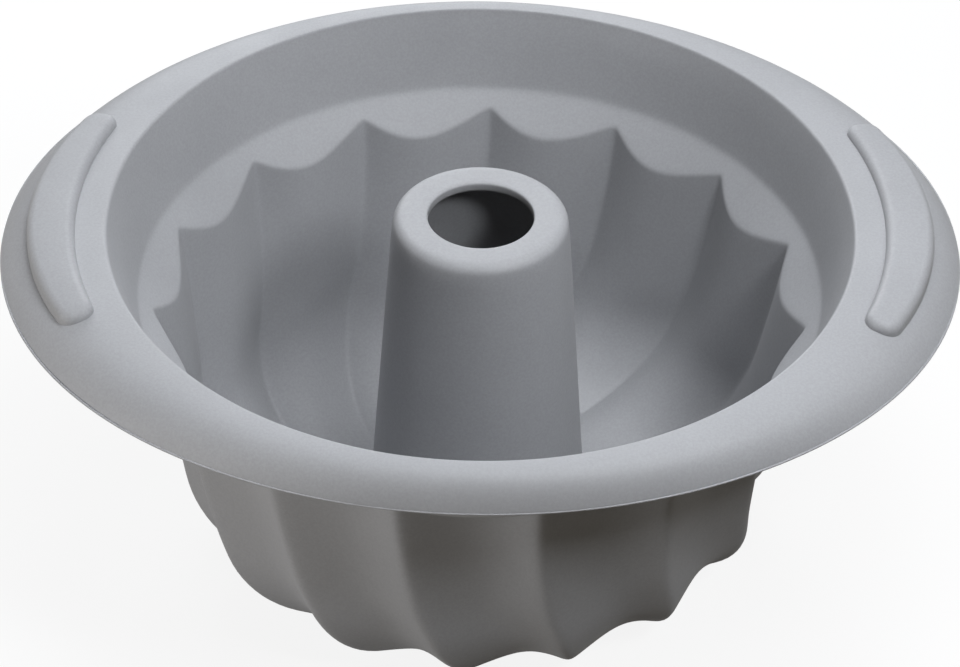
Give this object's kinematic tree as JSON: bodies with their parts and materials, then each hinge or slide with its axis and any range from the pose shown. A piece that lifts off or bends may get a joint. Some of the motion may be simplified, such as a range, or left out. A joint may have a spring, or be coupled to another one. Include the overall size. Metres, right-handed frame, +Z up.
{
  "type": "fluted tube pan",
  "caption": "Silicone ring-cake mould with swirled flutes, a hollow central tube, a rolled oval rim and two grip handles.",
  "frame": {"origin": "on the axis of the central tube, at the plane the pan stands on", "axes": "+Z up along the tube's axis, +X towards one handle, +Y across the handles; a crease between two flutes lies 1.5 degrees off +Y"},
  "size_m": [0.2846, 0.242, 0.1196],
  "materials": {
    "silicone": "matte moulded silicone, mid grey",
    "pad_silicone": "matte moulded silicone, mid grey",
    "steel_wire": "bright drawn wire"
  },
  "bodies": {
    "root": {"pan_moulding": "silicone", "rim_wire": "steel_wire", "grip_pad_left": "pad_silicone", "grip_pad_right": "pad_silicone"}
  },
  "joints": []
}
